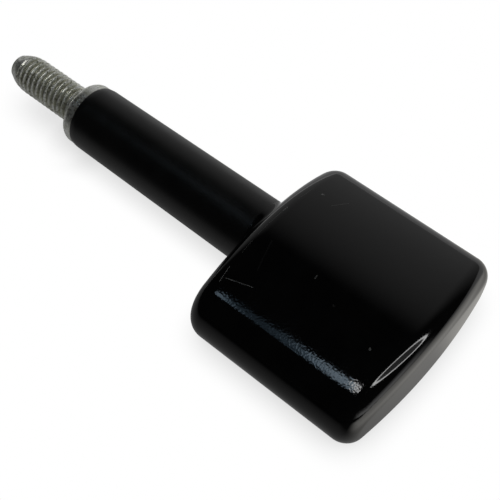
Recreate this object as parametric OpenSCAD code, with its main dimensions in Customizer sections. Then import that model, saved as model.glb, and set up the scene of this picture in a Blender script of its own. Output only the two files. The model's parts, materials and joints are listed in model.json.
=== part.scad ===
// Clamping knob: one moulded head and stem, with a steel threaded stud moulded in.
// The stud's axis is X. The collar's seat is at X = 0 and the thread runs towards +X.
// The head's domed face looks up along +Z, and its lower face is flat.

/* [Thread] */
// Outside diameter of the thread
thread_d = 5; // [4:0.1:6]
// Length from the collar's seat to the tip
thread_len = 12.5; // [8:0.5:25]
// Distance from one ridge of the thread to the next
thread_pitch = 0.8; // [0.5:0.05:1]
// Plain length between the collar's seat and the first groove
run_out = 0.65; // [0.3:0.05:1.5]
// Length of the rounded nose behind the tip
nose_len = 3.2; // [2:0.1:4.5]
// Diameter of the flat at the tip
tip_d = 3; // [2:0.1:3.6]

/* [Collar] */
// Diameter of the collar
collar_d = 8.4; // [7:0.1:10]
// Thickness of the collar
collar_t = 1.5; // [1:0.1:3]
// Depth of the bevel round the seat, across the axis
bevel_depth = 0.3; // [0.1:0.05:0.6]
// Length of the bevel round the seat, along the axis
bevel_len = 0.75; // [0.3:0.05:0.9]

/* [Shank inside the stem] */
// Diameter of the shank
shank_d = 5.4; // [4.5:0.1:6]
// Length of the shank behind the collar
shank_len = 14; // [11:0.5:22]
// Diameter at the bottom of each holding groove
groove_d = 4.2; // [3.5:0.1:4.4]
// Width of each holding groove
groove_w = 1.6; // [1:0.1:2]
// Distance from the collar to the first groove
groove_start = 4; // [2:0.5:5]
// Distance from one groove to the next
groove_pitch = 4; // [2.5:0.1:4.2]
// Number of holding grooves
groove_count = 2; // [1:1:3]

/* [Stem] */
// Diameter of the stem just behind its rounded end
stem_end_d = 8.65; // [8:0.05:11]
// Diameter of the stem where it meets the head
stem_root_d = 9; // [8:0.1:10]
// Length of the stem from the collar to the head
stem_len = 28.5; // [25:0.5:45]
// Length over which the stem narrows to the collar
stem_lead = 1; // [0.5:0.1:2]

/* [Head] */
// Length of the head along the stem's axis
head_len = 24.7; // [20:0.1:35]
// Width of the head across the axis
head_w = 28.4; // [24:0.2:40]
// Height of the domed face's crest above the axis
head_up = 5.3; // [4.8:0.1:7]
// Depth of the flat face below the axis
head_down = 5.2; // [4.8:0.1:7]
// Radius of the head's rounded long sides
side_r = 4.8; // [3.2:0.1:5]
// Depth of the head's widest line below the axis
side_drop = 1.4; // [0.6:0.1:2.4]
// Bow of the head's outer end
end_bow = 0.9; // [0.2:0.1:3]
// Radius round the edges of the head's ends
edge_r = 2.4; // [1:0.1:3]

/* [Hidden] */
$fn = 96;
ball_fn = 32;
dome_steps = 4;
side_steps = 5;
flat_steps = 5;
depth_share = 0.6134;
crest_share = 1 / 8;
flank_angle = 30;
thread_depth = depth_share * thread_pitch;
flank_w = thread_depth * tan(flank_angle);
mouth_w = (1 - crest_share) * thread_pitch;
plain_tip = nose_len / 3;
turns = floor((thread_len - plain_tip - run_out) / thread_pitch);
nose_drop = (thread_d - tip_d) / 2;
nose_r = (nose_len * nose_len + nose_drop * nose_drop) / (2 * nose_drop);
head_x = -collar_t - stem_len;
rim_half_w = head_w / 2 - edge_r;
side_y = head_w / 2 - side_r;
side_rise = head_up + side_drop - side_r;
dome_reach = side_y * side_y / (2 * side_rise) + side_rise / 2;
dome_r = dome_reach + side_r;
dome_turn = asin(side_y / dome_reach);
flat_z = edge_r - head_down;
flat_dip = asin(min(1, (-side_drop - flat_z) / (side_r - edge_r)));
flat_y = side_y + (side_r - edge_r) * cos(flat_dip);
side_turn = 90 + flat_dip - dome_turn;

knob_body();
threaded_stud();

module knob_body() {
    color([0.012, 0.012, 0.014])
        difference() {
            union() {
                head();
                stem();
            }
            shank();
        }
}

module threaded_stud() {
    color([0.46, 0.46, 0.45])
        union() {
            thread();
            collar();
            shank();
        }
}

// Where the balls of the head's rims lie, across the head and up. Angles are from upright.
function dome_spot(a) = [0, head_up - dome_r] + (dome_r - edge_r) * [sin(a), cos(a)];
function side_spot(a) = [side_y, -side_drop] + (side_r - edge_r) * [sin(a), cos(a)];
function mirrored(spot, side) = [side * spot[0], spot[1]];
function outer_rim_x(y) = head_x - head_len + edge_r + end_bow * pow(y / rim_half_w, 2);

// Pillow-shaped head: a domed face that rolls over its long sides to the flat face.
module head() {
    hull() {
        for (k = [-dome_steps : dome_steps])
            rim_balls(dome_spot(dome_turn * k / dome_steps));
        for (side = [-1, 1]) {
            for (k = [1 : side_steps - 1])
                rim_balls(mirrored(side_spot(dome_turn + side_turn * k / side_steps), side));
            rim_balls([side * flat_y, flat_z]);
        }
        for (k = [1 - flat_steps : flat_steps - 1])
            outer_ball([flat_y * k / flat_steps, flat_z]);
    }
}

// One ball at each end of the head.
module rim_balls(spot) {
    rim_ball(head_x - edge_r, spot);
    outer_ball(spot);
}

module outer_ball(spot) {
    rim_ball(outer_rim_x(spot[0]), spot);
}

module rim_ball(x, spot) {
    translate([x, spot[0], spot[1]])
        sphere(r = edge_r, $fn = ball_fn);
}

// Turns a profile drawn with its length along X and its radius along Y about the X axis.
module turned() {
    rotate([0, 90, 0])
        rotate_extrude()
            mirror([1, -1, 0])
                children();
}

// Drafted stem, carried into the head as far as the head's full height.
module stem() {
    turned()
        polygon([
            [-collar_t, 0],
            [-collar_t, collar_d / 2],
            [-collar_t - stem_lead, stem_end_d / 2],
            [head_x, stem_root_d / 2],
            [head_x - edge_r, stem_root_d / 2],
            [head_x - edge_r, 0]
        ]);
}

// The thread's ridges, as closed rings at its pitch. The helix itself is in the scene.
module thread() {
    turned()
        difference() {
            bar_outline();
            for (k = [0 : turns - 1])
                translate([run_out + mouth_w / 2 + k * thread_pitch, thread_d / 2])
                    groove_outline();
        }
}

// The thread's outside form, with its nose rounded in one arc to the flat tip.
module bar_outline() {
    square([thread_len - nose_len, thread_d / 2]);
    intersection() {
        translate([thread_len - nose_len, 0])
            square([nose_len, thread_d / 2]);
        translate([thread_len - nose_len, thread_d / 2 - nose_r])
            circle(r = nose_r);
    }
}

// One groove of the metric thread form, open above the crests.
module groove_outline() {
    polygon([
        [-mouth_w / 2, thread_depth],
        [-mouth_w / 2, 0],
        [-mouth_w / 2 + flank_w, -thread_depth],
        [mouth_w / 2 - flank_w, -thread_depth],
        [mouth_w / 2, 0],
        [mouth_w / 2, thread_depth]
    ]);
}

module collar() {
    turned()
        polygon([
            [0, 0],
            [0, collar_d / 2 - bevel_depth],
            [-bevel_len, collar_d / 2],
            [-collar_t, collar_d / 2],
            [-collar_t, 0]
        ]);
}

// Shank that the plastic closes on, with grooves that hold it.
module shank() {
    turned()
        difference() {
            translate([-collar_t - shank_len, 0])
                square([shank_len, shank_d / 2]);
            for (k = [0 : groove_count - 1])
                translate([-collar_t - groove_start - groove_w - k * groove_pitch, groove_d / 2])
                    square([groove_w, shank_d]);
        }
}
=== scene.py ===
import json
import math
import bmesh
import bpy
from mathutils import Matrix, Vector


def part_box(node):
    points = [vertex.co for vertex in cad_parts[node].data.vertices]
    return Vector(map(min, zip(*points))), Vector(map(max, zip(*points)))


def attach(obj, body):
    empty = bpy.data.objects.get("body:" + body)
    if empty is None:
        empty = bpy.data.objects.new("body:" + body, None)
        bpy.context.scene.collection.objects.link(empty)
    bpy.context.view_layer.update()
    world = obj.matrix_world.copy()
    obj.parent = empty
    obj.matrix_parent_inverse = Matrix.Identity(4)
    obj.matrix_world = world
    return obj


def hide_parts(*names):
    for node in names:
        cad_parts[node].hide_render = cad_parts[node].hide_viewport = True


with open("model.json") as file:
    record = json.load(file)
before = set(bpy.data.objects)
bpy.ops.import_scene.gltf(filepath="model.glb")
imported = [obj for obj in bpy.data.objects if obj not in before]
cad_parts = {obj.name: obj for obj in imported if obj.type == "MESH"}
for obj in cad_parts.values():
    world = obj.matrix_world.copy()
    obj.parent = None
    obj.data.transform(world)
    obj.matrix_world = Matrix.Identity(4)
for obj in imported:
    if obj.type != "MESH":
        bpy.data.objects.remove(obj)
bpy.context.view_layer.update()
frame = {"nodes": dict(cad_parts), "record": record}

mm = 0.001
print("frame loaded:", ", ".join(frame["nodes"]))


# rings: each skin grows ring by ring from one circle

def startRing(bm, places):
    bmesh.ops.create_circle(bm, cap_ends=True, radius=mm, segments=len(places))
    ring = list(bm.verts)
    for vert, place in zip(ring, places):
        vert.co = place
    return ring


def growRing(bm, ring, places):
    count = len(ring)
    edges = [bm.edges.get((ring[i], ring[(i + 1) % count])) for i in range(count)]
    grown = bmesh.ops.extrude_edge_only(bm, edges=edges)["geom"]
    fresh = {part for part in grown if isinstance(part, bmesh.types.BMVert)}
    newRing = []
    for vert, place in zip(ring, places):
        above = next(e.other_vert(vert) for e in vert.link_edges if e.other_vert(vert) in fresh)
        above.co = place
        newRing.append(above)
    return newRing


def closeRing(bm, ring):
    cap = bm.faces.new(ring)
    bmesh.ops.poke(bm, faces=[cap])


def finishPiece(bm, name, node, sharpAngle):
    bmesh.ops.recalc_face_normals(bm, faces=bm.faces)
    for face in bm.faces:
        face.smooth = True
    mesh = bpy.data.meshes.new(name)
    bm.to_mesh(mesh)
    bm.free()
    mesh.set_sharp_from_angle(angle=math.radians(sharpAngle))
    piece = bpy.data.objects.new(name, mesh)
    bpy.context.scene.collection.objects.link(piece)
    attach(piece, "root")
    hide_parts(node)
    print(name, "has", len(mesh.polygons), "faces")
    return piece


def lathePlaces(angles, x, radius):
    return [Vector((x, radius * math.cos(a), radius * math.sin(a))) * mm for a in angles]


# moulding: head and stem in one skin, sizes in millimetres

moulding = {
    "headLength": 24.7,
    "headWidth": 28.4,
    "crestHeight": 5.3,  # domed face above the axis
    "flatDepth": 5.2,  # flat face below the axis
    "sideRadius": 4.8,
    "sideDrop": 1.4,  # widest line below the axis
    "endBow": 0.9,
    "edgeRadius": 2.4,
    "stemLength": 28.5,
    "stemMouthDia": 8.4,
    "stemEndDia": 8.65,
    "stemRootDia": 9.0,
    "stemLead": 1.0,
    "rootFillet": 0.35,
    "domeSteps": 72,
    "sideSteps": 44,
    "cornerSteps": 12,
    "flatSteps": 72,
    "leadRings": 5,
    "stemRings": 10,
    "filletRings": 5,
    "capRings": 20,
    "sideRings": 10,
    "endRings": 14,
    "faceRings": 9,
    "flatShare": 0.35,  # the flat by the stem takes fewer rings than the round edge
    "sharpAngle": 40,
}

shank = {
    "dia": 5.4,
    "length": 14.0,
    "grooveDia": 4.2,
    "grooveWidth": 1.6,
    "grooveStart": 4.0,
    "groovePitch": 4.0,
    "grooveCount": 2,
}


def shankProfile(mouthX):
    # distance along the axis and radius, from the shank's mouth to its end
    profile = [(mouthX, shank["dia"] / 2)]
    for k in range(shank["grooveCount"]):
        front = mouthX - shank["grooveStart"] - k * shank["groovePitch"]
        back = front - shank["grooveWidth"]
        profile.append((front, shank["dia"] / 2))
        profile.append((front, shank["grooveDia"] / 2))
        profile.append((back, shank["grooveDia"] / 2))
        profile.append((back, shank["dia"] / 2))
    profile.append((mouthX - shank["length"], shank["dia"] / 2))
    return profile


def headSection(m):
    # rim centre and outward normal round the head, seen along its axis
    r = m["edgeRadius"]
    inset = m["sideRadius"] - r
    sideY = m["headWidth"] / 2 - m["sideRadius"]
    sideRise = m["crestHeight"] + m["sideDrop"] - m["sideRadius"]
    reach = sideY ** 2 / (2 * sideRise) + sideRise / 2
    domeRadius = reach + m["sideRadius"]
    domeTurn = math.asin(sideY / reach)
    low = r - m["flatDepth"]
    dip = math.asin(min(1.0, (-m["sideDrop"] - low) / inset))
    flatY = sideY + inset * math.cos(dip)
    section = []

    def arc(y, z, radius, first, last, steps):
        # angles from upright towards +Y
        for k in range(steps):
            a = first + (last - first) * k / steps
            normal = Vector((math.sin(a), math.cos(a)))
            section.append((Vector((y, z)) + normal * radius, normal))

    flatTurn = math.pi / 2 + dip
    arc(0, m["crestHeight"] - domeRadius, domeRadius - r, domeTurn, -domeTurn, m["domeSteps"])
    arc(-sideY, -m["sideDrop"], inset, -domeTurn, -flatTurn, m["sideSteps"])
    arc(-flatY, low, 0, -flatTurn, -math.pi, m["cornerSteps"])
    for k in range(m["flatSteps"]):
        section.append((Vector((flatY * (2 * k / m["flatSteps"] - 1), low)), Vector((0, -1))))
    arc(flatY, low, 0, math.pi, flatTurn, m["cornerSteps"])
    arc(sideY, -m["sideDrop"], inset, flatTurn, domeTurn, m["sideSteps"])
    return section


def makeMoulding():
    m = moulding
    r = m["edgeRadius"]
    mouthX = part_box("knob_body")[1].x / mm
    headX = mouthX - m["stemLength"]
    outerX = headX - m["headLength"]
    half = m["headWidth"] / 2 - r
    root = m["stemRootDia"] / 2
    section = headSection(m)

    # where the stem's surface meets the head's end, for each point of the section
    meet = []
    for centre, normal in section:
        along = centre.dot(normal)
        inside = along ** 2 - centre.length_squared + root ** 2
        reach = max(0.0, -along + math.sqrt(max(inside, 0.0))) if centre.length < root else 0.0
        spot = (centre + normal * reach).normalized() * root
        meet.append((spot, max(0.0, centre.length - root), math.asin(min(1.0, reach / r))))
    angles = [math.atan2(found[0].y, found[0].x) for found in meet]

    def capPlace(i, s):
        # a point of the head's end, s along its surface from the stem
        centre, normal = section[i]
        spot, flat, start = meet[i]
        if s < flat:
            p = spot.normalized() * (root + s)
            return Vector((headX, p.x, p.y))
        a = start + (s - flat) / r
        p = centre + normal * r * math.sin(a)
        return Vector((headX - r * (1 - math.cos(a)), p.x, p.y))

    def capLength(i):
        return meet[i][1] + r * (math.pi / 2 - meet[i][2])

    def stemRadius(x):
        leadX = mouthX - m["stemLead"]
        end = m["stemEndDia"] / 2
        if x > leadX:
            t = (mouthX - x) / m["stemLead"]
            return end - (end - m["stemMouthDia"] / 2) * (1 - t) ** 2
        return end + (root - end) * (leadX - x) / (leadX - headX)

    count = len(section)
    bm = bmesh.new()
    cavity = shankProfile(mouthX)[::-1]
    ring = startRing(bm, lathePlaces(angles, *cavity[0]))
    for x, radius in cavity[1:]:
        ring = growRing(bm, ring, lathePlaces(angles, x, radius))
    for k in range(m["leadRings"] + 1):
        x = mouthX - m["stemLead"] * k / m["leadRings"]
        ring = growRing(bm, ring, lathePlaces(angles, x, stemRadius(x)))

    # stem, ending a fillet's length short of the head
    fillet = m["rootFillet"]
    knees = [capPlace(i, 0) for i in range(count)]
    leadX = mouthX - m["stemLead"]
    for k in range(1, m["stemRings"] + 1):
        places = []
        for i in range(count):
            x = leadX + (knees[i].x + fillet - leadX) * k / m["stemRings"]
            radius = stemRadius(x)
            places.append(Vector((x, radius * math.cos(angles[i]), radius * math.sin(angles[i]))) * mm)
        ring = growRing(bm, ring, places)
    lastStem = [vert.co / mm for vert in ring]
    for k in range(1, m["filletRings"] + 1):
        t = k / m["filletRings"]
        places = []
        for i in range(count):
            landing = capPlace(i, fillet)
            bend = lastStem[i] * (1 - t) ** 2 + knees[i] * 2 * t * (1 - t) + landing * t ** 2
            places.append(bend * mm)
        ring = growRing(bm, ring, places)

    # head's stem side, flat and then round its edge
    flatShare = m["flatShare"]
    for k in range(1, m["capRings"] + 1):
        places = []
        for i in range(count):
            flat = max(0.0, meet[i][1] - fillet)
            arc = capLength(i) - fillet - flat
            s = (flatShare * flat + arc) * k / m["capRings"]
            s = s / flatShare if s < flatShare * flat else s + flat * (1 - flatShare)
            places.append(capPlace(i, fillet + s) * mm)
        ring = growRing(bm, ring, places)

    # sides, outer edge and bowed outer end
    def rimX(y):
        return outerX + r + m["endBow"] * (y / half) ** 2

    def endNormal(y):
        return Vector((-1, 2 * m["endBow"] * y / half ** 2, 0)).normalized()

    for k in range(1, m["sideRings"] + 1):
        places = []
        for centre, normal in section:
            p = centre + normal * r
            x = headX - r + (rimX(centre.x) - headX + r) * k / m["sideRings"]
            places.append(Vector((x, p.x, p.y)) * mm)
        ring = growRing(bm, ring, places)
    for k in range(1, m["endRings"] + 1):
        places = []
        for centre, normal in section:
            outward = Vector((0, normal.x, normal.y)).slerp(endNormal(centre.x), k / m["endRings"])
            rim = Vector((rimX(centre.x), centre.x, centre.y))
            places.append((rim + outward * r) * mm)
        ring = growRing(bm, ring, places)
    middle = Vector((0, (m["crestHeight"] - m["flatDepth"] - m["sideDrop"]) / 2))
    for k in range(1, m["faceRings"] + 1):
        places = []
        for centre, normal in section:
            q = centre.lerp(middle, k / (m["faceRings"] + 1))
            places.append((Vector((rimX(q.x), q.x, q.y)) + endNormal(q.x) * r) * mm)
        ring = growRing(bm, ring, places)
    closeRing(bm, ring)
    return finishPiece(bm, "knobMoulding", "knob_body", m["sharpAngle"])


# stud: thread, collar and shank in one skin, sizes in millimetres

stud = {
    "pitch": 0.8,
    "threadDepth": 0.49,
    "crestShare": 0.125,  # flat crest and root, as shares of the pitch
    "rootShare": 0.25,
    "rounding": 0.6,  # how far the ridge's corners are rounded
    "runOut": 1.1,  # thread fades over this length next to the collar
    "runIn": (10.2, 11.0),  # and between these places next to the tip
    "noseLength": 3.2,
    "tipDia": 3.0,
    "tipRound": 0.25,
    "collarThick": 1.5,
    "bevelDepth": 0.3,
    "bevelLength": 0.75,
    "around": 96,
    "ringsPerPitch": 20,
    "bevelRings": 6,
    "tipRings": 5,
    "sharpAngle": 50,
}


def threadHeight(phase):
    # 1 on the crest, 0 in the root, corners slightly rounded
    s = abs(2 * (phase % 1) - 1)
    h = (1 - stud["rootShare"] - s) / (1 - stud["rootShare"] - stud["crestShare"])
    h = min(1.0, max(0.0, h))
    r = stud["rounding"]
    return (1 - r) * h + r * h * h * (3 - 2 * h)


def makeStud():
    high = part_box("threaded_stud")[1] / mm
    threadRadius = next(m for m in frame["record"]["mounts"] if m["name"] == "thread")["dims"]["r_mm"]
    collarRadius = high.y
    tipX = high.x
    drop = threadRadius - stud["tipDia"] / 2
    noseRadius = (stud["noseLength"] ** 2 + drop ** 2) / (2 * drop)
    noseX = tipX - stud["noseLength"]
    angles = [2 * math.pi * k / stud["around"] for k in range(stud["around"])]

    def noseAt(x):
        if x < noseX:
            return threadRadius
        return threadRadius - noseRadius + math.sqrt(noseRadius ** 2 - (x - noseX) ** 2)

    def threadPlaces(x):
        start, end = stud["runIn"]
        fade = min(1.0, x / stud["runOut"], max(0.0, (end - x) / (end - start)))
        depth = stud["threadDepth"] * fade
        places = []
        for a in angles:
            height = threadHeight(x / stud["pitch"] - a / (2 * math.pi))
            radius = min(noseAt(x), threadRadius - depth * (1 - height))
            places.append(Vector((x, radius * math.cos(a), radius * math.sin(a))) * mm)
        return places

    bm = bmesh.new()
    profile = shankProfile(-stud["collarThick"])[::-1]
    ring = startRing(bm, lathePlaces(angles, *profile[0]))
    for x, radius in profile[1:]:
        ring = growRing(bm, ring, lathePlaces(angles, x, radius))
    ring = growRing(bm, ring, lathePlaces(angles, -stud["collarThick"], collarRadius))
    for k in range(stud["bevelRings"] + 1):
        t = k / stud["bevelRings"]
        x = -stud["bevelLength"] * (1 - t)
        ring = growRing(bm, ring, lathePlaces(angles, x, collarRadius - stud["bevelDepth"] * t ** 2))
    steps = round((tipX - stud["tipRound"]) / stud["pitch"] * stud["ringsPerPitch"])
    for k in range(steps + 1):
        ring = growRing(bm, ring, threadPlaces((tipX - stud["tipRound"]) * k / steps))
    shoulder = noseAt(tipX - stud["tipRound"]) - stud["tipRound"]
    for k in range(1, stud["tipRings"] + 1):
        a = math.pi / 2 * k / stud["tipRings"]
        x = tipX - stud["tipRound"] * (1 - math.sin(a))
        ring = growRing(bm, ring, lathePlaces(angles, x, shoulder + stud["tipRound"] * math.cos(a)))
    closeRing(bm, ring)
    return finishPiece(bm, "platedStud", "threaded_stud", stud["sharpAngle"])


# finishes

def newMaterial(name):
    material = bpy.data.materials.new(name)
    material.use_nodes = True
    return material, material.node_tree


def feed(tree, socket, value):
    if isinstance(value, bpy.types.NodeSocket):
        tree.links.new(value, socket)
    else:
        socket.default_value = value


def calc(tree, operation, *values):
    node = tree.nodes.new("ShaderNodeMath")
    node.operation = operation
    for socket, value in zip(node.inputs, values):
        feed(tree, socket, value)
    return node.outputs["Value"]


def dotWith(tree, vector, fixed):
    node = tree.nodes.new("ShaderNodeVectorMath")
    node.operation = "DOT_PRODUCT"
    feed(tree, node.inputs[0], vector)
    node.inputs[1].default_value = fixed
    return node.outputs["Value"]


def ease(tree, value, start, end, low=0.0, high=1.0):
    node = tree.nodes.new("ShaderNodeMapRange")
    node.interpolation_type = "SMOOTHSTEP"
    feed(tree, node.inputs["Value"], value)
    node.inputs["From Min"].default_value = start
    node.inputs["From Max"].default_value = end
    node.inputs["To Min"].default_value = low
    node.inputs["To Max"].default_value = high
    return node.outputs["Result"]


def blendColour(tree, factor, first, second):
    node = tree.nodes.new("ShaderNodeMix")
    node.data_type = "RGBA"
    feed(tree, node.inputs["Factor"], factor)
    feed(tree, node.inputs["A"], first)
    feed(tree, node.inputs["B"], second)
    return node.outputs["Result"]


mottleLook = {
    "roughness": 0.6,
    "contrast": (0.3, 0.7),
}


def makeMottle():
    # soft blotches from 0 to 1, for every finish
    group = bpy.data.node_groups.new("surfaceMottle", "ShaderNodeTree")
    group.interface.new_socket(name="Place", in_out="INPUT", socket_type="NodeSocketVector")
    group.interface.new_socket(name="Scale", in_out="INPUT", socket_type="NodeSocketFloat")
    group.interface.new_socket(name="Detail", in_out="INPUT", socket_type="NodeSocketFloat")
    group.interface.new_socket(name="Value", in_out="OUTPUT", socket_type="NodeSocketFloat")
    given = group.nodes.new("NodeGroupInput")
    noise = group.nodes.new("ShaderNodeTexNoise")
    noise.inputs["Roughness"].default_value = mottleLook["roughness"]
    group.links.new(given.outputs["Place"], noise.inputs["Vector"])
    group.links.new(given.outputs["Scale"], noise.inputs["Scale"])
    group.links.new(given.outputs["Detail"], noise.inputs["Detail"])
    result = group.nodes.new("NodeGroupOutput")
    value = ease(group, noise.outputs["Fac"], *mottleLook["contrast"])
    group.links.new(value, result.inputs["Value"])
    return group


def mottle(tree, place, scale, detail):
    node = tree.nodes.new("ShaderNodeGroup")
    node.node_tree = mottleGroup
    tree.links.new(place, node.inputs["Place"])
    node.inputs["Scale"].default_value = scale
    node.inputs["Detail"].default_value = detail
    return node.outputs["Value"]


def placeInMm(tree):
    node = tree.nodes.new("ShaderNodeVectorMath")
    node.operation = "SCALE"
    tree.links.new(tree.nodes.new("ShaderNodeTexCoord").outputs["Object"], node.inputs[0])
    node.inputs["Scale"].default_value = 1 / mm
    split = tree.nodes.new("ShaderNodeSeparateXYZ")
    tree.links.new(node.outputs["Vector"], split.inputs["Vector"])
    return node.outputs["Vector"], split.outputs["X"], split.outputs["Y"], split.outputs["Z"]


def bumpOf(tree, height, depth):
    # depth in millimetres
    node = tree.nodes.new("ShaderNodeBump")
    node.inputs["Distance"].default_value = depth * mm
    tree.links.new(height, node.inputs["Height"])
    return node.outputs["Normal"]


# plastic: near-black gloss, grained along the shoulder, with handling marks and a painted highlight on
# the worn edge by the stem marks and the edge highlight as places across the domed face from above:
# start, end, half width and strength

mouldingLook = {
    "black": (0.0009, 0.0009, 0.001, 1),
    "film": (0.0019, 0.002, 0.0021, 1),
    "filmScale": 0.35,
    "filmDetail": 4.0,
    "roughness": (0.045, 0.075),
    "stemRoughness": 0.3,  # the stem is duller than the head
    "stemFoot": (-30.0, -29.6),  # x where the dull stem sets in
    "markColour": (0.13, 0.132, 0.13, 1),
    "markRoughness": 0.5,
    "markHeight": (1.0, 2.0),  # z where the marks set in
    "markSoft": (1.5, 0.5),  # where a mark fades, in half widths
    "grainScale": 4.0,
    "grainDetail": 0.5,
    "grainDepth": 0.0018,
    "shoulder": (8.6, 10.4),  # y where the grain sets in
    "shoulderHeight": (0.5, 2.5),  # and z
    "marksAndHighlight": (
        ((-33.4, -6.5), (-33.5, -6.6), 0.12, 1.0),  # specks
        ((-40.25, 3.65), (-40.2, 3.25), 0.09, 0.4),
        ((-49.8, 6.5), (-49.9, 6.6), 0.11, 0.6),
        ((-43.8, 5.0), (-43.9, 5.0), 0.12, 0.1),
        ((-32.3, 9.4), (-35.5, 8.5), 0.05, 0.5),  # scratches
        ((-31.78, 8.1), (-32.02, 10.1), 0.05, 0.7),
        ((-35.3, -5.8), (-36.4, -7.7), 0.05, 0.25),
        ((-33.5, 2.9), (-34.6, 6.7), 0.07, 0.05),
        ((-32.08, -6.5), (-31.9, -3.9), 0.05, 0.2),  # worn edge beside the stem, painted lighter as an edge highlight
        ((-31.84, -1.9), (-31.8, -1.2), 0.07, 0.6),
        ((-31.78, -0.9), (-31.7, 1.2), 0.05, 0.25),
        ((-31.7, 1.5), (-31.72, 3.1), 0.05, 0.15),
        ((-31.76, 4.2), (-31.8, 6.0), 0.05, 0.25),
    ),
}


def markAndHighlightMask(tree, x, y, start, end, halfWidth):
    # distance from a short line across the face
    dx, dy = end[0] - start[0], end[1] - start[1]
    fromX = calc(tree, "SUBTRACT", x, start[0])
    fromY = calc(tree, "SUBTRACT", y, start[1])
    length = dx * dx + dy * dy
    alongX = calc(tree, "MULTIPLY", fromX, dx / length)
    share = calc(tree, "MULTIPLY_ADD", fromY, dy / length, alongX)
    share.node.use_clamp = True
    offX = calc(tree, "MULTIPLY_ADD", share, -dx, fromX)
    offY = calc(tree, "MULTIPLY_ADD", share, -dy, fromY)
    squared = calc(tree, "MULTIPLY_ADD", offX, offX, calc(tree, "MULTIPLY", offY, offY))
    fade = [halfWidth * edge for edge in mouldingLook["markSoft"]]
    return ease(tree, calc(tree, "SQRT", squared), *fade)


def paintMoulding(piece):
    look = mouldingLook
    material, tree = newMaterial("glossBlackMoulding")
    shader = tree.nodes["Principled BSDF"]
    place, x, y, z = placeInMm(tree)
    film = mottle(tree, place, look["filmScale"], look["filmDetail"])
    # specks and scratches, and a painted highlight along the worn edge by the stem
    marksAndHighlight = 0.0
    for start, end, halfWidth, strength in look["marksAndHighlight"]:
        mask = calc(tree, "MULTIPLY", markAndHighlightMask(tree, x, y, start, end, halfWidth), strength)
        marksAndHighlight = calc(tree, "MAXIMUM", mask, marksAndHighlight)
    marksAndHighlight = calc(tree, "MULTIPLY", marksAndHighlight, ease(tree, z, *look["markHeight"]))
    colour = blendColour(tree, film, look["black"], look["film"])
    feed(tree, shader.inputs["Base Color"], blendColour(tree, marksAndHighlight, colour, look["markColour"]))
    roughness = ease(tree, film, 0, 1, *look["roughness"])
    dull = ease(tree, x, *look["stemFoot"], 0, look["stemRoughness"])
    roughness = calc(tree, "ADD", roughness, dull)
    roughness = calc(tree, "MULTIPLY_ADD", marksAndHighlight, look["markRoughness"], roughness)
    feed(tree, shader.inputs["Roughness"], roughness)
    grain = mottle(tree, place, look["grainScale"], look["grainDetail"])
    upper = ease(tree, z, *look["shoulderHeight"])
    shoulder = calc(tree, "MULTIPLY", ease(tree, y, *look["shoulder"]), upper)
    bumps = calc(tree, "MULTIPLY", grain, shoulder)
    feed(tree, shader.inputs["Normal"], bumpOf(tree, bumps, look["grainDepth"]))
    piece.data.materials.append(material)


# zinc: pale crests, olive roots darkened by painted shade, blotchy dull plate, all in colours
# brightened as painted light

studLook = {
    # colours written brighter than the plate's own, as painted light that makes up for the dim lamps
    "crest": (0.97, 0.98, 0.95, 1),
    "tarnish": (0.68, 0.69, 0.6, 1),
    # root: painted shade in the thread's hollows, with an olive tint
    "root": (0.54, 0.54, 0.43, 1),
    "pit": (0.28, 0.28, 0.22, 1),
    "rootRadius": (2.42, 2.1),
    "threadStart": (0.1, 0.6),  # x where the thread's colours set in
    "threadEnd": (11.2, 10.3),  # and where they fade
    "blotchScale": 1.1,
    "blotchDetail": 4.0,
    "pitScale": 2.6,
    "pitDetail": 3.0,
    "pitCut": (0.66, 1.0),
    "grainScale": 3.2,
    "grainDetail": 2.0,
    "grainDepth": 0.012,
    "roughness": (0.24, 0.48),
    "metallic": (0.93, 0.7),  # collar and thread
    "smooth": 0.35,  # share of the pits and grain on the collar and tip
}


def paintStud(piece):
    look = studLook
    material, tree = newMaterial("dullZincPlate")
    shader = tree.nodes["Principled BSDF"]
    place, x, y, z = placeInMm(tree)
    radius = calc(tree, "SQRT", calc(tree, "MULTIPLY_ADD", y, y, calc(tree, "MULTIPLY", z, z)))
    started = ease(tree, x, *look["threadStart"])
    threaded = calc(tree, "MULTIPLY", started, ease(tree, x, *look["threadEnd"]))
    # painted shade: the thread's roots darker, by their radius
    paintedRootShade = calc(tree, "MULTIPLY", ease(tree, radius, *look["rootRadius"]), threaded)
    blotch = mottle(tree, place, look["blotchScale"], look["blotchDetail"])
    grain = mottle(tree, place, look["grainScale"], look["grainDetail"])
    coarse = ease(tree, threaded, 0, 1, look["smooth"], 1)
    pits = ease(tree, mottle(tree, place, look["pitScale"], look["pitDetail"]), *look["pitCut"])
    pits = calc(tree, "MULTIPLY", pits, coarse)
    plate = blendColour(tree, blotch, look["crest"], look["tarnish"])
    plate = blendColour(tree, paintedRootShade, plate, look["root"])
    feed(tree, shader.inputs["Base Color"], blendColour(tree, pits, plate, look["pit"]))
    feed(tree, shader.inputs["Roughness"], ease(tree, grain, 0, 1, *look["roughness"]))
    feed(tree, shader.inputs["Metallic"], ease(tree, threaded, 0, 1, *look["metallic"]))
    bumps = calc(tree, "MULTIPLY", grain, coarse)
    feed(tree, shader.inputs["Normal"], bumpOf(tree, bumps, look["grainDepth"]))
    piece.data.materials.append(material)


mottleGroup = makeMottle()
knobMoulding = makeMoulding()
platedStud = makeStud()
paintMoulding(knobMoulding)
paintStud(platedStud)

# floor: white where it is seen, with a soft halo of shade round the object

floorLook = {
    "size": 40000.0,  # millimetres
    "shift": 0.4,  # share of its half size, keeps its diagonal out of sight
    "height": -moulding["flatDepth"],  # millimetres
    "haloSamples": 16,
    "haloReach": (3.6, 5.5),  # millimetres, round the moulding and round the stud
    "haloShade": (0.67, 0.35),
    "studSide": (-6.0, 3.0),  # x over which the halo changes
    "fill": 0.4,  # what it gives to matt surfaces
}


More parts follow.
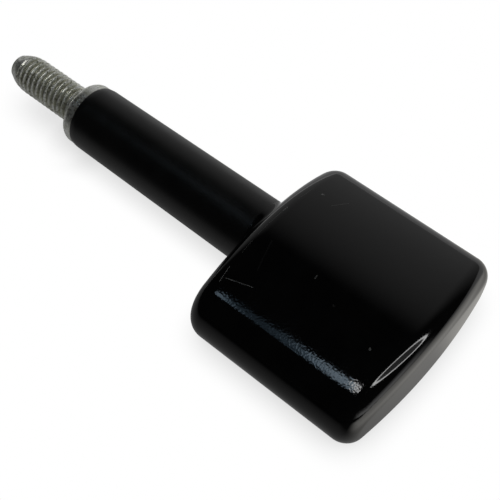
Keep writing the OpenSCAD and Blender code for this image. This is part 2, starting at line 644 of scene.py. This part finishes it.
def makePlane(name, low, high, height):
    # a level rectangle, corners and height in millimetres
    bm = bmesh.new()
    bmesh.ops.create_grid(bm, x_segments=1, y_segments=1, size=0.5)
    bmesh.ops.scale(bm, verts=bm.verts, vec=Vector((high[0] - low[0], high[1] - low[1], 1)) * mm)
    middle = Vector(((low[0] + high[0]) / 2, (low[1] + high[1]) / 2, height))
    bmesh.ops.translate(bm, verts=bm.verts, vec=middle * mm)
    mesh = bpy.data.meshes.new(name)
    bm.to_mesh(mesh)
    bm.free()
    plane = bpy.data.objects.new(name, mesh)
    bpy.context.scene.collection.objects.link(plane)
    material, tree = newMaterial(name)
    tree.nodes.remove(tree.nodes["Principled BSDF"])
    mesh.materials.append(material)
    return plane, tree


def makeFloor():
    reach = floorLook["size"] / 2
    shift = floorLook["shift"] * reach
    low, high = (-reach, shift - reach), (reach, shift + reach)
    tree = makePlane("paleFloor", low, high, floorLook["height"])[1]
    shade = tree.nodes.new("ShaderNodeAmbientOcclusion")
    shade.samples = floorLook["haloSamples"]
    x = placeInMm(tree)[1]
    reachMm = ease(tree, x, *floorLook["studSide"], *floorLook["haloReach"])
    feed(tree, shade.inputs["Distance"], calc(tree, "MULTIPLY", reachMm, mm))
    darkest = ease(tree, x, *floorLook["studSide"], *floorLook["haloShade"])
    lit = ease(tree, shade.outputs["AO"], 0, 1)
    white = calc(tree, "MULTIPLY_ADD", calc(tree, "SUBTRACT", 1, darkest), lit, darkest)
    path = tree.nodes.new("ShaderNodeLightPath")
    seen = calc(tree, "MAXIMUM", path.outputs["Is Camera Ray"], path.outputs["Is Glossy Ray"])
    seen = calc(tree, "MAXIMUM", seen, path.outputs["Is Transmission Ray"])
    level = tree.nodes.new("ShaderNodeMix")
    feed(tree, level.inputs["Factor"], seen)
    feed(tree, level.inputs["A"], floorLook["fill"])
    feed(tree, level.inputs["B"], white)
    glow = tree.nodes.new("ShaderNodeEmission")
    feed(tree, glow.inputs["Strength"], level.outputs["Result"])
    tree.links.new(glow.outputs["Emission"], tree.nodes["Material Output"].inputs["Surface"])


# cards: painted light and shade of the floor, glowing sheets that lie on it out of the camera's sight,
# for the gloss to mirror
# corners, edges and heights in millimetres, softness of the low x, high x, low y and high y edges
# levels as pairs of y and strength

warmTint = (1, 0.98, 0.93, 1)
cards = {
    # painted shadow: the floor dark on the +Y side
    "paintedShadowCard": {"low": (-20000, 4), "high": (20000, 20000), "soft": (1, 1, 7, 1), "height": 0.02,
                 "level": ((0, 0.03), (60, 0.01))},
    # painted floor light, dim, beside the stem
    "stemCard": {"low": (-60, -8), "high": (110, 50), "soft": (8, 30, 6, 40), "height": 0.06,
                 "level": ((0, 0.22), (30, 0.18))},
    # painted floor light, grey, on the -Y side
    "greyCard": {"low": (-20000, -20000), "high": (70, -6), "soft": (1, 10, 1, 10), "height": 0.02,
                 "level": ((-60, 0.43), (-10, 0.4))},
    # painted floor shade beyond the stud
    "farCard": {"low": (14, -52), "high": (20000, 20), "soft": (25, 1, 25, 25), "height": 0.04,
                "level": ((-50, 0.08), (20, 0.08))},
    # painted pool of warm light on the floor beyond the head's end
    "paintedLightPoolCard": {"low": (-260, -85), "high": (-53, 40), "soft": (60, 8, 55, 20), "height": 0.03,
                "level": ((-40, 1.0), (12, 1.65)), "tint": warmTint,
                "slants": {1: (-37, -50), -1: (-22, -34)}},  # edges across the corners
    # painted contact shade on the floor next to the head's end
    "paintedContactShadeCard": {"low": (-66, -36), "high": (-44, 18), "soft": (10, 4, 10, 8), "height": 0.04,
                 "level": ((-30, 0.42), (0, 0.5)), "tint": warmTint},
}


def makeCard(name, card):
    low, high, soft = card["low"], card["high"], card["soft"]
    plane, tree = makePlane(name, low, high, floorLook["height"] + card["height"])
    plane.visible_camera = False
    plane.visible_shadow = False
    place = tree.nodes.new("ShaderNodeSeparateXYZ")
    tree.links.new(tree.nodes.new("ShaderNodeTexCoord").outputs["Object"], place.inputs["Vector"])
    cover = 1.0
    for k, axis in enumerate("XY"):
        start, end = low[k] * mm, high[k] * mm
        rise, fall = soft[2 * k] * mm, soft[2 * k + 1] * mm
        cover = calc(tree, "MULTIPLY", ease(tree, place.outputs[axis], start, start + rise), cover)
        cover = calc(tree, "MULTIPLY", ease(tree, place.outputs[axis], end, end - fall), cover)
    for sign, (fade, full) in card.get("slants", {}).items():
        slant = calc(tree, "MULTIPLY_ADD", place.outputs["Y"], sign, place.outputs["X"])
        cover = calc(tree, "MULTIPLY", ease(tree, slant, fade * mm, full * mm), cover)
    glow = tree.nodes.new("ShaderNodeEmission")
    (firstY, first), (lastY, last) = card["level"]
    strength = ease(tree, place.outputs["Y"], firstY * mm, lastY * mm, first, last)
    feed(tree, glow.inputs["Strength"], strength)
    glow.inputs["Color"].default_value = card.get("tint", (1, 1, 1, 1))
    blend = tree.nodes.new("ShaderNodeMixShader")
    feed(tree, blend.inputs["Fac"], cover)
    tree.links.new(tree.nodes.new("ShaderNodeBsdfTransparent").outputs["BSDF"], blend.inputs[1])
    tree.links.new(glow.outputs["Emission"], blend.inputs[2])
    tree.links.new(blend.outputs["Shader"], tree.nodes["Material Output"].inputs["Surface"])


# surroundings: a dark room with a pale wall, a low glow, a ring lamp and a strip lamp
# azimuth from +X towards +Y, elevation and sizes of the lamps in degrees
# the wall's edges are slopes from its foot: along the wall and up it
# the strip's levels are pairs of share of its length and strength

studio = {
    "room": 0.012,
    "facing": (0.02, 0.1),  # how squarely a direction meets a lamp before it shows
    "ground": ((-0.05, -0.1), (-3.0, -2.0)),  # the floor goes on in white below the horizon
    "wall": {"azimuth": -90.0, "elevation": 0.0, "turn": 0.0, "level": 0.3,
             "left": (-0.75, 0.35), "right": (12.0, 0.3), "top": (2.9, 0.2)},
    "glow": {"azimuth": 172.0, "halfWidth": (40.0, 14.0), "top": (24.0, 3.0), "level": 1.3},
    "ring": {"azimuth": -167.4, "elevation": 57.2, "turn": -59.5, "level": 9.0, "middle": 0.32,
             "outer": (27.2, 10.4), "inner": (23.2, 8.2), "soft": (1.04, 0.96)},
    "strip": {"azimuth": 48.7, "elevation": 66.4, "turn": 55.6,
              "start": -9.6, "end": 8.0, "endFade": 0.03, "halfWidth": 2.0, "soft": (1.3, 0.7),
              "full": 9.0, "cool": (0.46, 0.74, 1.0),
              "levels": ((0.0, 2.8), (0.2, 1.7), (0.31, 0.3), (0.44, 0.34), (0.52, 0.5), (0.58, 0.8),
                         (0.65, 2.3), (0.7, 3.3), (0.76, 3.2), (0.87, 3.4), (0.93, 9.0))},
}


def direction(azimuth, elevation):
    a, e = math.radians(azimuth), math.radians(elevation)
    return Vector((math.cos(e) * math.cos(a), math.cos(e) * math.sin(a), math.sin(e)))


def lampAxes(lamp):
    # towards the lamp, along it and across it
    centre = direction(lamp["azimuth"], lamp["elevation"])
    level = Vector((0, 0, 1)).cross(centre).normalized()
    up = centre.cross(level)
    a = math.radians(lamp["turn"])
    along = level * math.cos(a) + up * math.sin(a)
    return centre, along, centre.cross(along)


def tangent(degrees):
    return math.tan(math.radians(degrees))


def makeStudio():
    world = bpy.data.worlds.new("softStudio")
    bpy.context.scene.world = world
    world.use_nodes = True
    tree = world.node_tree
    coords = tree.nodes.new("ShaderNodeTexCoord").outputs["Generated"]

    def times(*values):
        product = values[0]
        for value in values[1:]:
            product = calc(tree, "MULTIPLY", product, value)
        return product

    def flatPlaces(lamp):
        # places on a flat lamp as slopes from its middle, and where it lies ahead
        centre, along, across = lampAxes(lamp)
        facing = dotWith(tree, coords, centre)
        depth = calc(tree, "MAXIMUM", facing, studio["facing"][0])
        p = calc(tree, "DIVIDE", dotWith(tree, coords, along), depth)
        q = calc(tree, "DIVIDE", dotWith(tree, coords, across), depth)
        return p, q, ease(tree, facing, *studio["facing"])

    def ellipse(p, q, halfLength, halfWidth):
        x = calc(tree, "DIVIDE", p, tangent(halfLength))
        y = calc(tree, "DIVIDE", q, tangent(halfWidth))
        size = calc(tree, "SQRT", calc(tree, "ADD", times(x, x), times(y, y)))
        return ease(tree, size, *studio["ring"]["soft"])

    def easeAngle(angle, edges):
        # edges in degrees
        return ease(tree, angle, *(math.radians(edge) for edge in edges))

    wall = studio["wall"]
    p, q, ahead = flatPlaces(wall)
    sides = times(ease(tree, p, *wall["left"]), ease(tree, p, *wall["right"]))
    wallLight = times(sides, ease(tree, q, *wall["top"]), ahead, wall["level"])

    glow = studio["glow"]
    split = tree.nodes.new("ShaderNodeSeparateXYZ")
    tree.links.new(coords, split.inputs["Vector"])
    height = calc(tree, "ARCSINE", split.outputs["Z"])
    facing = dotWith(tree, coords, direction(glow["azimuth"], 0))
    turn = calc(tree, "ARCCOSINE", calc(tree, "DIVIDE", facing, calc(tree, "COSINE", height)))
    across = easeAngle(turn, glow["halfWidth"])
    glowLight = times(across, easeAngle(height, glow["top"]), glow["level"])

    upper, lower = studio["ground"]
    ground = times(easeAngle(height, upper), easeAngle(height, lower))

    ring = studio["ring"]
    p, q, ahead = flatPlaces(ring)
    inside = ellipse(p, q, *ring["inner"])
    band = calc(tree, "SUBTRACT", ellipse(p, q, *ring["outer"]), inside)
    middle = times(inside, ahead, ring["middle"])
    ringLight = calc(tree, "ADD", times(band, ahead, ring["level"]), middle)

    strip = studio["strip"]
    p, q, ahead = flatPlaces(strip)
    first, last = tangent(strip["start"]), tangent(strip["end"])
    width = tangent(strip["halfWidth"])
    flat = ease(tree, p, first, last)
    flat.node.interpolation_type = "LINEAR"
    ends = times(ease(tree, flat, 0, strip["endFade"]), ease(tree, flat, 1, 1 - strip["endFade"]))
    sides = ease(tree, calc(tree, "ABSOLUTE", q), *(width * edge for edge in strip["soft"]))
    ramp = tree.nodes.new("ShaderNodeValToRGB")
    while len(ramp.color_ramp.elements) < len(strip["levels"]):
        ramp.color_ramp.elements.new(0.5)
    for stop, (place, level) in zip(ramp.color_ramp.elements, strip["levels"]):
        share = level / strip["full"]  # the brighter, the less blue
        stop.position = place
        stop.color = [share * (c + (1 - c) * share) for c in strip["cool"]] + [1]
    tree.links.new(flat, ramp.inputs["Fac"])
    stripMask = times(ends, sides, ahead, strip["full"])

    total = studio["room"]
    for light in (wallLight, glowLight, ringLight):
        total = calc(tree, "ADD", light, total)
    total = calc(tree, "MAXIMUM", total, ground)
    blend = tree.nodes.new("ShaderNodeVectorMath")
    blend.operation = "MULTIPLY_ADD"
    tree.links.new(ramp.outputs["Color"], blend.inputs[0])
    tree.links.new(stripMask, blend.inputs[1])
    tree.links.new(total, blend.inputs[2])
    tree.links.new(blend.outputs["Vector"], tree.nodes["Background"].inputs["Color"])


makeFloor()
for cardName, cardLook in cards.items():
    makeCard(cardName, cardLook)
makeStudio()
print("floor, cards and light ready")

view = {
    "place": (-70.272, 54.471, 91.815),  # millimetres
    "turn": (35.4587, -1.8942, -139.6944),  # degrees
    "lens": 69.12,
    "sensor": 36.0,
    "near": 5.0,  # millimetres
}
camera = bpy.data.objects.new("camera", bpy.data.cameras.new("camera"))
bpy.context.scene.collection.objects.link(camera)
camera.location = Vector(view["place"]) * mm
camera.rotation_euler = [math.radians(a) for a in view["turn"]]
camera.data.lens = view["lens"]
camera.data.sensor_width = view["sensor"]
camera.data.clip_start = view["near"] * mm
bpy.context.scene.camera = camera

bpy.context.scene.view_settings.view_transform = "Standard"
